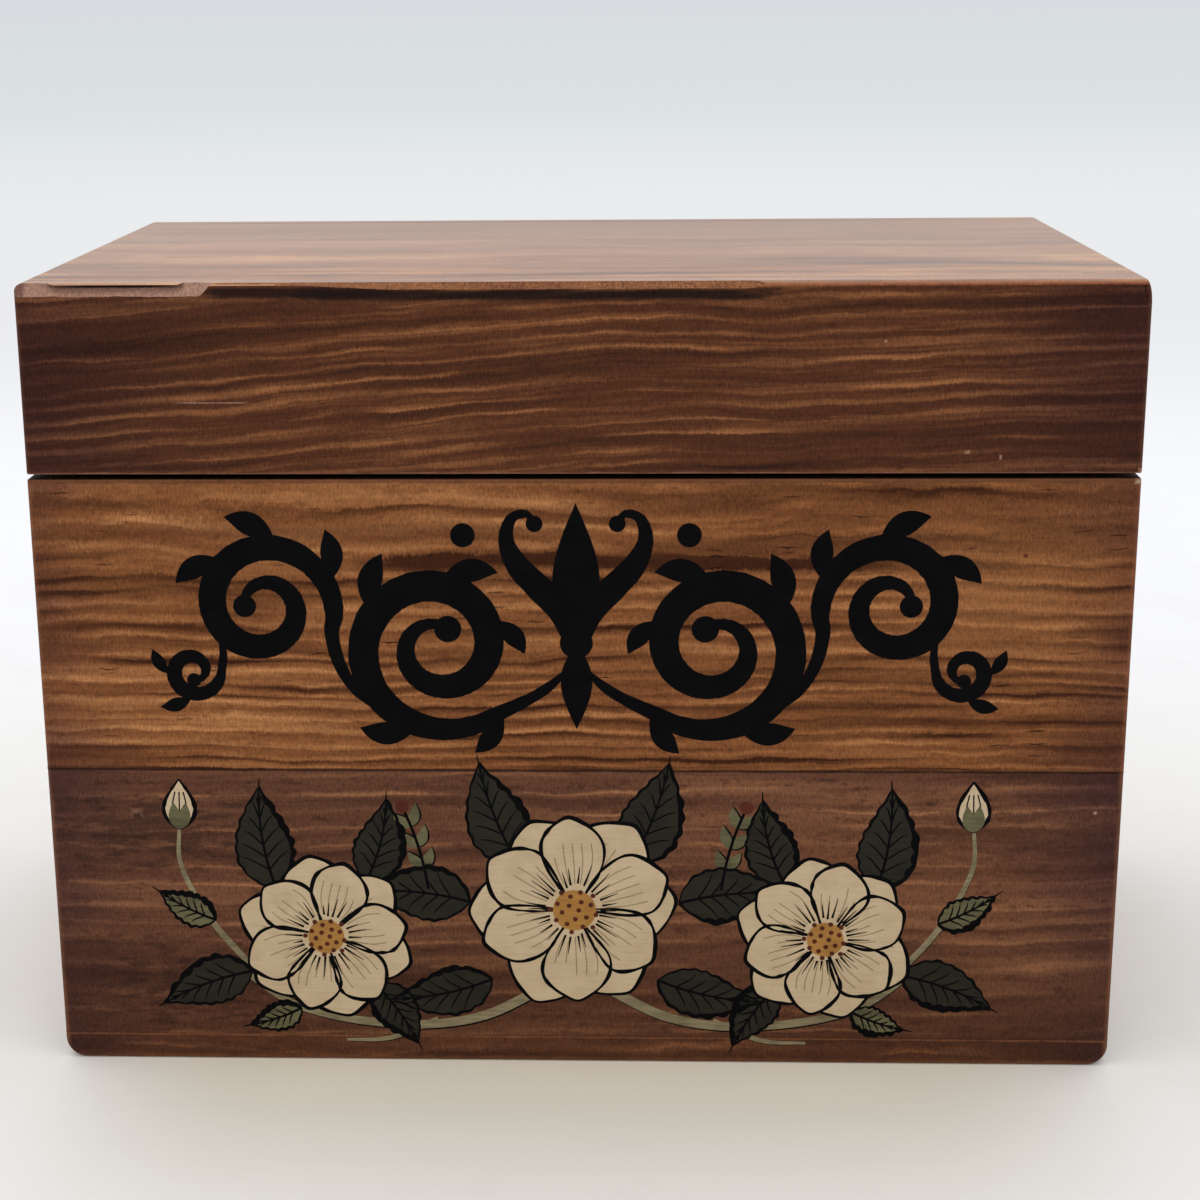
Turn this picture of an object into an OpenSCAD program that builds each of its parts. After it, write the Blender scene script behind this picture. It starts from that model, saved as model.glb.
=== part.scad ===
// Recipe card box: a small wooden box of rabbeted boards, with a lid on two brass butt hinges.
// Millimetres. +X is to the right, +Y to the back and +Z up.
// The origin is the middle of the underside, where the box stands.

/* [Box] */
// Outside width, left to right
box_w = 152.4; // [145:0.1:190]
// Outside depth, front to back, without the hinge knuckles
box_d = 88.9; // [80:0.1:140]
// Outside height with the lid closed
box_h = 113.9; // [108:0.1:150]
// Height of the middle of the gap between base and lid
seam_z = 87.4; // [70:0.1:90]
// Gap between the rims of the closed box
seam_gap = 0.7; // [0.4:0.1:1.2]

/* [Boards] */
// Thickness of the front and back boards
wall_t = 9.5; // [8.5:0.1:12]
// Thickness of the left and right boards
side_t = 9.5; // [7:0.1:12]
// Thickness of the lid's top board
top_t = 9.5; // [6:0.1:12]
// Thickness of the bottom board
bottom_t = 4.0; // [3:0.1:6]
// Wood left outside the rabbets of the front and back boards
rabbet_lip = 4.5; // [3:0.1:6]
// Height of the glue line between the two boards of the base's front
glue_line_z = 45; // [30:0.5:60]

/* [Eased edges] */
// Radius of the top edges that run front to back
top_side_r = 1; // [0.5:0.1:4]
// Radius of the bottom edges that run front to back
bottom_side_r = 3; // [0.5:0.1:4]
// Radius of the top edges along the front and back
top_long_r = 1.2; // [0.3:0.1:2.5]
// Radius of the bottom edges along the front and back
bottom_long_r = 0.6; // [0.3:0.1:2.5]
// Radius of the four upright corners
upright_r = 1; // [0.3:0.1:2.5]

/* [Lost sliver] */
// Length of the sliver lost from the front top edge, from the left corner
sliver_l = 28; // [5:0.5:60]
// How far down the front the sliver reached
sliver_drop = 1.9; // [0.5:0.1:4]
// How far back over the top the sliver reached
sliver_back = 1.5; // [0.5:0.1:4]

/* [Hinges] */
// Length of each hinge
hinge_l = 25; // [20:0.5:35]
// Distance from the side of the box to the middle of each hinge
hinge_inset = 30; // [25:0.5:45]
// Thickness of a hinge leaf
leaf_t = 0.9; // [0.7:0.05:1.4]
// How far a leaf reaches in over the rim
leaf_w = 7.5; // [6:0.1:8]
// Play between the closed leaves
leaf_play = 0.1; // [0.05:0.05:0.3]
// Outside radius of the knuckles
knuckle_r = 1.7; // [1.4:0.05:2.5]
// Clearance from the knuckles to the back of the box
knuckle_stand_off = 0.2; // [0.2:0.05:0.6]
// Clearance round and beside a knuckle
knuckle_clear = 0.15; // [0.1:0.01:0.2]
// Length of the lid leaf's knuckle
lid_knuckle_l = 9; // [5:0.5:12]
// Radius of the hinge pin, tight in the base's knuckles
pin_r = 0.8; // [0.5:0.05:1]
// Running clearance between the pin and the lid's knuckle
pin_clear = 0.05; // [0.02:0.01:0.1]
// Radius of the pin's peened ends
pin_end_r = 1.2; // [1.05:0.05:1.35]
// Thickness of the pin's peened ends
pin_end_t = 0.5; // [0.2:0.1:1]

/* [Hinge screws] */
// Distance between the two screws of a leaf
screw_spacing = 15; // [12:0.5:16]
// Distance from the back of the box to the screws
screw_inset = 4; // [3.5:0.1:4.5]
// Length of a screw
screw_l = 8; // [6:0.5:10]
// Radius over the thread
screw_r = 0.95; // [0.9:0.01:1.2]
// Radius at the root of the thread
screw_root_r = 0.7; // [0.5:0.05:0.8]
// Radius of the countersunk head
screw_head_r = 1.75; // [1.4:0.05:1.8]
// Distance from one thread ridge to the next
screw_pitch = 0.8; // [0.5:0.1:1.2]
// Length of the screw's point
screw_point_l = 1.4; // [1:0.1:2]
// Width of the slot in the head
slot_w = 0.5; // [0.3:0.05:0.7]
// Depth of the slot in the head
slot_depth = 0.4; // [0.2:0.05:0.5]

/* [Bottom brads] */
// Distance from the side of the box to the outer brads of the front and back boards
end_brad_inset = 26; // [15:1:45]
// Distance from the front or back of the box to the brads of the side boards
side_brad_inset = 28; // [20:1:35]
// Length of a brad
brad_l = 14; // [10:0.5:20]
// Radius of a brad
brad_r = 0.6; // [0.4:0.05:0.9]
// Radius of a brad's head
brad_head_r = 1.0; // [0.95:0.05:1.4]
// Thickness of a brad's head
brad_head_t = 0.5; // [0.3:0.1:0.8]
// How far the heads are set below the underside
brad_set = 0.3; // [0.1:0.1:0.6]
// Length of a brad's point
brad_point_l = 1.6; // [1:0.1:3]

/* [Hidden] */
$fn = 48;

// Cutting solids run this far past the faces that they cut
past = 1;

half_w = box_w / 2;
half_d = box_d / 2;
base_rim_z = seam_z - seam_gap / 2;
lid_rim_z = seam_z + seam_gap / 2;
top_board_z = box_h - top_t;
side_board_y = half_d - rabbet_lip;

knuckle_y = half_d + knuckle_stand_off + knuckle_r;
leaf_end_y = knuckle_y - knuckle_r - knuckle_clear;
leaf_start_y = half_d - leaf_w;
hinge_x = half_w - hinge_inset;
screw_y = half_d - screw_inset;
screw_head_h = screw_head_r - screw_r;
thread_start = max(screw_head_h, leaf_t);
thread_ridges = floor((screw_l - screw_point_l - thread_start) / screw_pitch);

brad_spots = concat(
    [for (x = [-1, 0, 1], y = [-1, 1]) [x * (half_w - end_brad_inset), y * (half_d - wall_t / 2)]],
    [for (x = [-1, 1], y = [-1, 1]) [x * (half_w - side_t / 2), y * (half_d - side_brad_inset)]]
);

dark_stain = "#6b4030";
golden_stain = "#9b6136";
brown_stain = "#74482f";
brass = "#b5924c";
steel = "#8d8d8b";

// A solid box from its lowest corner to its highest
module slab(low, high) {
    translate(low) cube(high - low);
}

// What a rounded corner of a flat outline takes away, with the corner at the origin
module corner_waste(r) {
    difference() {
        translate([-past, -past]) square(r + past);
        translate([r, r]) circle(r);
    }
}

// A rectangle from (-w/2, 0) to (w/2, h), with one radius below and one above
module eased_rectangle(w, h, low_r, high_r) {
    difference() {
        translate([-w / 2, 0]) square([w, h]);
        for (side = [0, 1]) mirror([side, 0]) {
            translate([-w / 2, 0]) corner_waste(low_r);
            translate([-w / 2, h]) mirror([0, 1]) corner_waste(high_r);
        }
    }
}

// The outside form of the closed box, with its eased edges
module box_form() {
    intersection() {
        translate([0, half_d, 0]) rotate([90, 0, 0])
            linear_extrude(box_d) eased_rectangle(box_w, box_h, bottom_side_r, top_side_r);
        translate([-half_w, 0, 0]) rotate([90, 0, 90])
            linear_extrude(box_w) eased_rectangle(box_d, box_h, bottom_long_r, top_long_r);
        linear_extrude(box_h) translate([0, -half_d])
            eased_rectangle(box_w, box_d, upright_r, upright_r);
    }
}

// A full-width front board between two heights, rabbeted inside at both ends for the side boards
module long_board(low_z, high_z) {
    intersection() {
        box_form();
        difference() {
            slab([-half_w, -half_d, low_z], [half_w, -half_d + wall_t, high_z]);
            for (side = [0, 1]) mirror([side, 0, 0])
                slab([-half_w - past, -side_board_y, low_z - past],
                     [-half_w + side_t, -half_d + wall_t + past, high_z + past]);
        }
    }
}

// The left side board between two heights, seated in the rabbets of the front and back
module side_board(low_z, high_z) {
    intersection() {
        box_form();
        slab([-half_w, -side_board_y, low_z], [-half_w + side_t, side_board_y, high_z]);
    }
}

// The rabbet along the top of a lid front board, where the top board lies
module top_rabbet() {
    slab([-half_w - past, -side_board_y, top_board_z],
         [half_w + past, -half_d + wall_t + past, box_h + past]);
}

// The sliver that broke off the front top edge, from the left corner
module lost_sliver() {
    translate([-half_w - past, -half_d, box_h]) rotate([90, 0, 90])
        linear_extrude(sliver_l + past)
            polygon([[-past, past], [sliver_back, past], [sliver_back, 0],
                     [0, -sliver_drop], [-past, -sliver_drop]]);
}

// The shallow seats of both base leaves in the back board's rim
module leaf_seats() {
    for (x = [-hinge_x, hinge_x])
        slab([x - hinge_l / 2, leaf_start_y, seam_z - leaf_play / 2 - leaf_t],
             [x + hinge_l / 2, half_d + past, seam_z]);
}

// The seam's other side, for what the lid has in mirror image of the base
module lid_side() {
    translate([0, 0, seam_z]) mirror([0, 0, 1]) translate([0, 0, -seam_z]) children();
}

// The places of one leaf's two screws, heads level with the leaf's upper face
module at_screws(x) {
    for (dx = [-screw_spacing / 2, screw_spacing / 2])
        translate([x + dx, screw_y, seam_z - leaf_play / 2]) children();
}

// The holes that the base's hinge screws cut in the back board
module screw_holes() {
    for (x = [-hinge_x, hinge_x])
        at_screws(x) translate([0, 0, -screw_l]) cylinder(r = screw_r, h = screw_l);
}

// A base leaf, screwed down on the base's rim, with the two outer knuckles
module base_leaf(x) {
    knuckle_l = (hinge_l - lid_knuckle_l) / 2 - knuckle_clear;
    difference() {
        union() {
            leaf_plate(x);
            for (side = [0, 1]) translate([x, 0, 0]) mirror([side, 0, 0])
                knuckle(-hinge_l / 2, knuckle_l);
        }
        pin_hole(x, pin_r);
        leaf_screw_holes(x);
    }
}

// A lid leaf, the mirror image of a base leaf in the seam, but with the middle knuckle
module lid_leaf(x) {
    lid_side() difference() {
        union() {
            leaf_plate(x);
            translate([x, 0, 0]) knuckle(-lid_knuckle_l / 2, lid_knuckle_l);
        }
        pin_hole(x, pin_r + pin_clear);
        leaf_screw_holes(x);
    }
}

module leaf_plate(x) {
    slab([x - hinge_l / 2, leaf_start_y, seam_z - leaf_play / 2 - leaf_t],
         [x + hinge_l / 2, leaf_end_y, seam_z - leaf_play / 2]);
}

// A knuckle of length l from start, and the neck that joins it to its leaf
module knuckle(start, l) {
    translate([start, knuckle_y, seam_z]) rotate([0, 90, 0]) cylinder(r = knuckle_r, h = l);
    slab([start, leaf_end_y - leaf_t, seam_z - leaf_play / 2 - leaf_t],
         [start + l, knuckle_y, seam_z - leaf_play / 2]);
}

module pin_hole(x, r) {
    translate([x - hinge_l / 2 - past, knuckle_y, seam_z]) rotate([0, 90, 0])
        cylinder(r = r, h = hinge_l + 2 * past);
}

// Countersunk holes through a leaf, of the same cone and shank as the screws
module leaf_screw_holes(x) {
    at_screws(x) {
        translate([0, 0, -leaf_t - past]) cylinder(r = screw_r, h = leaf_t + 2 * past);
        translate([0, 0, -screw_head_h])
            cylinder(r1 = screw_r, r2 = screw_head_r, h = screw_head_h);
        cylinder(r = screw_head_r, h = past);
    }
}

// A hinge pin along X, peened over the outer ends of the base's knuckles
module hinge_pin(x) {
    translate([x - hinge_l / 2, knuckle_y, seam_z]) rotate([0, 90, 0]) {
        translate([0, 0, -pin_end_t]) cylinder(r = pin_r, h = hinge_l + 2 * pin_end_t);
        for (z = [-pin_end_t, hinge_l]) translate([0, 0, z])
            cylinder(r = pin_end_r, h = pin_end_t);
    }
}

// A countersunk wood screw that points down, with its head's face at the origin
module screw() {
    ridge = [for (i = [0 : thread_ridges - 1], p = [0, 1])
        [p == 0 ? screw_root_r : screw_r, -thread_start - (i + p / 2) * screw_pitch]];
    thread_end = -thread_start - thread_ridges * screw_pitch;
    difference() {
        rotate_extrude() polygon(concat(
            [[0, 0], [screw_head_r, 0], [screw_r, -screw_head_h], [screw_r, -thread_start]],
            ridge,
            [[screw_root_r, thread_end], [screw_root_r, -screw_l + screw_point_l], [0, -screw_l]]
        ));
        translate([-screw_head_r - past, -slot_w / 2, -slot_depth])
            cube([2 * (screw_head_r + past), slot_w, slot_depth + past]);
    }
}

// A brad driven up from the underside
module brad() {
    shank_z = brad_set + brad_head_t;
    rotate_extrude() polygon([
        [0, brad_set], [brad_head_r, brad_set], [brad_head_r, shank_z], [brad_r, shank_z],
        [brad_r, brad_set + brad_l - brad_point_l], [0, brad_set + brad_l]
    ]);
}

// The holes that the brads cut, with the wider part over their heads
module brad_holes() {
    for (spot = brad_spots) translate(spot) {
        translate([0, 0, brad_set]) cylinder(r = brad_r, h = brad_l);
        translate([0, 0, -past])
            cylinder(r = brad_head_r, h = past + brad_set + brad_head_t);
    }
}

module bottom_board() {
    color(brown_stain) difference() {
        intersection() {
            box_form();
            slab([-half_w, -half_d, 0], [half_w, half_d, bottom_t]);
        }
        brad_holes();
    }
}

module base_front_lower_board() {
    color(brown_stain) difference() {
        long_board(bottom_t, glue_line_z);
        brad_holes();
    }
}

module base_front_upper_board() {
    color(golden_stain) long_board(glue_line_z, base_rim_z);
}

module base_back_board() {
    color(brown_stain) difference() {
        mirror([0, 1, 0]) long_board(bottom_t, base_rim_z);
        leaf_seats();
        screw_holes();
        brad_holes();
    }
}

module base_left_board() {
    color(golden_stain) difference() {
        side_board(bottom_t, base_rim_z);
        brad_holes();
    }
}

module base_right_board() {
    color(golden_stain) difference() {
        mirror([1, 0, 0]) side_board(bottom_t, base_rim_z);
        brad_holes();
    }
}

module lid_front_board() {
    color(dark_stain) difference() {
        long_board(lid_rim_z, box_h);
        top_rabbet();
        lost_sliver();
    }
}

module lid_back_board() {
    color(dark_stain) difference() {
        mirror([0, 1, 0]) difference() {
            long_board(lid_rim_z, box_h);
            top_rabbet();
        }
        lid_side() leaf_seats();
        lid_side() screw_holes();
    }
}

module lid_left_board() {
    color(dark_stain) side_board(lid_rim_z, top_board_z);
}

module lid_right_board() {
    color(dark_stain) mirror([1, 0, 0]) side_board(lid_rim_z, top_board_z);
}

module lid_top_board() {
    color(dark_stain) intersection() {
        box_form();
        slab([-half_w, -side_board_y, top_board_z], [half_w, side_board_y, box_h]);
    }
}

module left_hinge_base_leaf() { color(brass) base_leaf(-hinge_x); }
module left_hinge_lid_leaf() { color(brass) lid_leaf(-hinge_x); }
module left_hinge_pin() { color(brass) hinge_pin(-hinge_x); }
module right_hinge_base_leaf() { color(brass) base_leaf(hinge_x); }
module right_hinge_lid_leaf() { color(brass) lid_leaf(hinge_x); }
module right_hinge_pin() { color(brass) hinge_pin(hinge_x); }
module left_hinge_base_screws() { color(brass) at_screws(-hinge_x) screw(); }
module left_hinge_lid_screws() { color(brass) lid_side() at_screws(-hinge_x) screw(); }
module right_hinge_base_screws() { color(brass) at_screws(hinge_x) screw(); }
module right_hinge_lid_screws() { color(brass) lid_side() at_screws(hinge_x) screw(); }

module bottom_brads() {
    color(steel) for (spot = brad_spots) translate(spot) brad();
}

bottom_board();
base_front_lower_board();
base_front_upper_board();
base_back_board();
base_left_board();
base_right_board();
lid_front_board();
lid_back_board();
lid_left_board();
lid_right_board();
lid_top_board();
left_hinge_base_leaf();
left_hinge_lid_leaf();
left_hinge_pin();
right_hinge_base_leaf();
right_hinge_lid_leaf();
right_hinge_pin();
left_hinge_base_screws();
left_hinge_lid_screws();
right_hinge_base_screws();
right_hinge_lid_screws();
bottom_brads();
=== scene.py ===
"""Recipe card box: stained pine boards, brass hinges, a painted front, on a pale floor."""

import math
import random

import bmesh
import bpy
from mathutils import Matrix, Vector, noise
from mathutils.geometry import delaunay_2d_cdt


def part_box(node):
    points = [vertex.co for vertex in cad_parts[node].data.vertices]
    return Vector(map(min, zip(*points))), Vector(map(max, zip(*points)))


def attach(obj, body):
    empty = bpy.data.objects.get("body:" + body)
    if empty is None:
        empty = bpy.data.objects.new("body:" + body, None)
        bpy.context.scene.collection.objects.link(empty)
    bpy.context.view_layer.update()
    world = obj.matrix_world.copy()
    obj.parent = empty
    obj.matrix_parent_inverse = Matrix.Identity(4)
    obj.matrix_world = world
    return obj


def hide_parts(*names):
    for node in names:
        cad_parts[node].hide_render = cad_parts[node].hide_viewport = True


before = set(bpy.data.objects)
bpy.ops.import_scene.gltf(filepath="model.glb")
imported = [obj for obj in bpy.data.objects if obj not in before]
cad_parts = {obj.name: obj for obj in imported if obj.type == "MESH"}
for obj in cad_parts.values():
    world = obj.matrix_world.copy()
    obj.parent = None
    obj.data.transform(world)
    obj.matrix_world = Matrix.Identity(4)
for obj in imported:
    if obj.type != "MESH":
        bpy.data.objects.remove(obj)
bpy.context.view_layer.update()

MM = 0.001
QUARTER = math.pi / 2


def box_of(node):
    """The lowest and highest corners of a CAD node, in millimetres."""
    return [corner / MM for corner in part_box(node)]


# Places of the casing, read from the CAD parts, in millimetres
LID_TOP_BOX = box_of("lid_top_board")
LID_FRONT_BOX = box_of("lid_front_board")
BASE_SIDE_BOX = box_of("base_left_board")
BASE_UPPER_BOX = box_of("base_front_upper_board")
HALF_W = LID_TOP_BOX[1].x
HALF_D = -LID_FRONT_BOX[0].y
TOP_Z = LID_TOP_BOX[1].z
TOP_RABBET_Z = LID_TOP_BOX[0].z
LID_RIM_Z = LID_FRONT_BOX[0].z
BASE_RIM_Z = BASE_UPPER_BOX[1].z
GLUE_Z = BASE_UPPER_BOX[0].z
FLOOR_BOARD_Z = BASE_SIDE_BOX[0].z
LIP_Y = BASE_SIDE_BOX[1].y
INNER_X = -BASE_SIDE_BOX[1].x
INNER_Y = HALF_D - (HALF_W - INNER_X)
FACE_Y = -HALF_D
BASE = ((-HALF_W, -HALF_D, 0.0), (HALF_W, HALF_D, BASE_RIM_Z))
LID = ((-HALF_W, -HALF_D, LID_RIM_Z), (HALF_W, HALF_D, TOP_Z))

# Eased edges, in millimetres. The right end's top edge is worn down the side by its stretch
TOP_SIDE_R = 1.0
RIGHT_STRETCH = 3.4
BOTTOM_SIDE_R = 3.0
TOP_LONG_R = 0.8
BOTTOM_LONG_R = 0.6
UPRIGHT_R = 0.8
RIM_R = 0.3
INNER_RIM_R = 0.05
SEAM_R = 0.12
TOUCH = 0.05


# Shader building

def stain(red, green, blue):
    """A colour given in screen values of 0 to 255, as linear light."""
    def linear(value):
        share = value / 255
        return share / 12.92 if share <= 0.04045 else ((share + 0.055) / 1.055) ** 2.4
    return (linear(red), linear(green), linear(blue), 1.0)


def shade(colour, share):
    """A darker share of a colour in linear light."""
    return tuple(share * part for part in colour[:3]) + (1.0,)


class Signal:
    """What a shader node puts out. Plain arithmetic on it adds the maths nodes."""

    def __init__(self, socket):
        self.socket = socket
        self.tree = socket.id_data

    def maths(self, operation, *others, clamp=False):
        return add_node(self.tree, "ShaderNodeMath", dict(enumerate((self, *others))),
                        operation=operation, use_clamp=clamp)[0]

    def __add__(self, other):
        return self.maths("ADD", other)

    def __sub__(self, other):
        return self.maths("SUBTRACT", other)

    def __mul__(self, other):
        return self.maths("MULTIPLY", other)

    def __truediv__(self, other):
        return self.maths("DIVIDE", other)


def wire(node, links):
    """Gives a node's inputs their values, or the signals that they read."""
    for key, value in links.items():
        if isinstance(value, Signal):
            node.id_data.links.new(value.socket, node.inputs[key])
        else:
            node.inputs[key].default_value = value


def add_node(tree, kind, links=None, **settings):
    """Adds a shader node with its settings and inputs, and gives what it puts out."""
    made = tree.nodes.new(kind)
    for key, value in settings.items():
        setattr(made, key, value)
    wire(made, links or {})
    return [Signal(socket) for socket in made.outputs]


def split(vector):
    return add_node(vector.tree, "ShaderNodeSeparateXYZ", {0: vector})


def combine(tree, x=0.0, y=0.0, z=0.0):
    return add_node(tree, "ShaderNodeCombineXYZ", {0: x, 1: y, 2: z})[0]


def vector_maths(tree, operation, first, second=(0, 0, 0)):
    return add_node(tree, "ShaderNodeVectorMath", {0: first, 1: second}, operation=operation)[0]


def rise(value, low, high, bottom=0.0, top=1.0):
    """A smooth step of a signal from bottom to top between low and high."""
    links = {"Value": value, 1: low, 2: high, 3: bottom, 4: top}
    return add_node(value.tree, "ShaderNodeMapRange", links, interpolation_type="SMOOTHSTEP")[0]


def stretched_noise(vector, scale, detail=2.0, offset=(0, 0, 0), roughness=0.5):
    """Noise on a vector in millimetres, with its own frequency along each axis."""
    mapping = {"Vector": vector, "Location": offset, "Scale": scale}
    mapped = add_node(vector.tree, "ShaderNodeMapping", mapping)[0]
    links = {"Vector": mapped, "Scale": 1.0, "Detail": detail, "Roughness": roughness}
    return add_node(vector.tree, "ShaderNodeTexNoise", links)[0]


def blend(tree, factor, first, second, mode="MIX"):
    return add_node(tree, "ShaderNodeMix", {0: factor, 6: first, 7: second}, data_type="RGBA",
                    blend_type=mode, clamp_factor=True)[2]


def bump(height, strength, distance):
    """A normal raised by a height signal, over a distance in metres."""
    links = {"Height": height, "Strength": strength, "Distance": distance}
    return add_node(height.tree, "ShaderNodeBump", links)[0]


def add_ramp(factor, stops):
    """A colour ramp through stops of (place, colour)."""
    ramp = factor.tree.nodes.new("ShaderNodeValToRGB")
    wire(ramp, {0: factor})
    elements = ramp.color_ramp.elements
    while len(elements) < len(stops):
        elements.new(0.5)
    for element, (place, colour) in zip(elements, stops):
        element.position = place
        element.color = colour
    return Signal(ramp.outputs[0])


def new_group(name, inputs, outputs):
    """A shader node group with named inputs and outputs, and its inputs as signals."""
    tree = bpy.data.node_groups.new(name, "ShaderNodeTree")
    for label, value in inputs.items():
        kind = "NodeSocketVector" if isinstance(value, tuple) else "NodeSocketFloat"
        tree.interface.new_socket(label, in_out="INPUT", socket_type=kind).default_value = value
    for label in outputs:
        tree.interface.new_socket(label, in_out="OUTPUT", socket_type="NodeSocketFloat")
    given = tree.nodes.new("NodeGroupInput").outputs
    return tree, {label: Signal(given[label]) for label in inputs}


def close_group(tree, results):
    """Wires a group's results to its outputs."""
    wire(tree.nodes.new("NodeGroupOutput"), results)
    return tree


def add_group(tree, group, links):
    """Adds a node group with its inputs, and gives its outputs by name."""
    made = tree.nodes.new("ShaderNodeGroup")
    made.node_tree = group
    wire(made, links)
    return {socket.name: Signal(socket) for socket in made.outputs}


def make_pine_grain():
    """Growth rings round a pith line along X. Each ring is dark past its crisp edge and grows paler
    to a light line before the next. Tone is 0 in the darkest wood, 0.5 in plain wood, 1 in pale lines."""
    inputs = {"Vector": (0, 0, 0), "Ring Spacing": 3.0, "Pith Y": 0.0, "Pith Z": 0.0, "Waver": 1.0,
              "Crisp Side": 1.0, "Bow": 0.0, "Line Start": 0.6, "Light Lines": 0.5, "Dark Bands": 0.5,
              "Streaks": 0.3, "Clouds": 0.3, "Feather": 0.3}
    tree, given = new_group("pine_grain", inputs, ("Tone", "Height", "Fine", "Pores", "Smudges"))
    vector = given["Vector"]
    x, y, z = split(vector)

    def drift(scale, detail, offset):
        return stretched_noise(vector, scale, detail, offset) - 0.5

    # Distance from the pith, bowed, wavered and jittered as a real log grows
    from_pith_y, from_pith_z = y - given["Pith Y"], z - given["Pith Z"]
    moved = (from_pith_y * from_pith_y + from_pith_z * from_pith_z).maths("SQRT")
    moved = moved + x * x * given["Bow"]
    moved = moved + drift((0.012, 0.02, 0.02), 1.0, (0, 0, 0)) * (given["Waver"] * 6.0)
    moved = moved + drift((0.035, 0.07, 0.07), 2.0, (7, 3, 5)) * (given["Waver"] * 3.0)
    moved = moved + drift((0.13, 0.4, 0.4), 2.0, (1, 9, 2))
    feathered = moved + drift((3.0, 1.6, 1.5), 2.0, (2, 2, 2)) * (given["Feather"] * 3.0)

    # Rings, each with its own strength of pale line and dark band
    uneven = stretched_noise(combine(tree, z=feathered), (1, 1, 0.13), 1.0)
    count = (feathered / given["Ring Spacing"] + uneven * 3.0) * given["Crisp Side"]
    share, number = count.maths("FRACT"), count.maths("FLOOR")
    ring_dice = add_node(tree, "ShaderNodeTexWhiteNoise", {"W": number}, noise_dimensions="1D")[1]
    line_chance, dark_chance, _ = split(ring_dice)
    apart = combine(tree, x, number * 61.7)
    line_run = rise(stretched_noise(apart, (0.042, 0.1, 1)), 0.4, 0.64)
    dark_run = rise(stretched_noise(apart, (0.02, 0.1, 1), 2.0, (5, 31, 0)), 0.36, 0.62)
    line = rise(share, given["Line Start"], 0.92) * rise(share, 0.86, 1.0, 1.0, 0.0)
    line = line * line_run * (line_chance * 0.6 + 0.4)
    dark = rise(share, 0.0, 0.16) * rise(share, 0.16, 0.7, 1.0, 0.0)
    dark = dark * dark_run * (dark_chance * 0.8 + 0.2)

    # Tone, with streaks and clouds that follow the rings
    in_rings = combine(tree, x, y, feathered)
    streaks = stretched_noise(in_rings, (0.022, 0.1, 0.7), 5.0, (2, 6, 4), 0.62) - 0.5
    clouds = stretched_noise(in_rings, (0.009, 0.05, 0.13), 2.0, (9, 4, 4)) - 0.5
    tone = line * given["Light Lines"] + 0.5 - dark * given["Dark Bands"]
    tone = tone + streaks * (given["Streaks"] * 2.0)
    tone = tone.maths("ADD", clouds * (given["Clouds"] * 2.0), clamp=True)

    # Fibres, pores in scattered patches, and smudges
    fibre = stretched_noise(vector, (0.16, 3.4, 3.4), 3.0, (3, 1, 7), 0.6)
    fuzz = stretched_noise(vector, (4.0, 2.2, 1.4), 2.0, (5, 2, 8), 0.6)
    bent = z + x * -0.04 + drift((0.5, 0.9, 0.9), 2.0, (4, 4, 1)) * 0.9
    cells = combine(tree, x * 0.2, y * 1.6, bent * 2.2)
    distance, cell_dice = add_node(tree, "ShaderNodeTexVoronoi", {"Vector": cells, "Scale": 1.0})[:2]
    kept_chance, size_chance, dark_chance = split(cell_dice)
    inside = rise(distance / (size_chance * 0.3 + 0.1), 0.4, 1.0, 1.0, 0.0)
    kept = kept_chance.maths("GREATER_THAN", 0.86) * (dark_chance * 0.7 + 0.3)
    patches = rise(stretched_noise(vector, (0.03, 0.1, 0.1), 1.0, (9, 7, 3)), 0.44, 0.56)
    smudges = stretched_noise(vector, (0.4, 1.0, 1.0), 2.0, (8, 5, 6), 0.55)
    return close_group(tree, {
        "Tone": tone, "Height": fibre + line * 0.6, "Pores": inside * kept * patches,
        "Fine": (fibre - 0.5) * 0.35 + 1.0 + (fuzz - 0.5) * 1.3, "Smudges": rise(smudges, 0.56, 0.72)})


def make_edge_wear():
    """A mask along the edges of a box from Low to High: 1 on the edge, 0 a Width away."""
    inputs = {"Vector": (0, 0, 0), "Low": (0, 0, 0), "High": (1, 1, 1), "Width": 1.0, "Ragged": 1.0}
    tree, given = new_group("edge_wear", inputs, ("Mask",))
    above = vector_maths(tree, "SUBTRACT", given["Vector"], given["Low"])
    below = vector_maths(tree, "SUBTRACT", given["High"], given["Vector"])
    x, y, z = split(vector_maths(tree, "MINIMUM", above, below))
    least = x.maths("MINIMUM", y.maths("MINIMUM", z))
    most = x.maths("MAXIMUM", y.maths("MAXIMUM", z))
    middle = x + y + z - least - most
    rough = stretched_noise(given["Vector"], (0.35, 0.35, 0.35), 3.0, (2, 2, 9), 0.65) - 0.5
    reach = middle + rough * given["Ragged"] * 2.0
    return close_group(tree, {"Mask": rise(reach, 0.0, given["Width"], 1.0, 0.0)})


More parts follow.
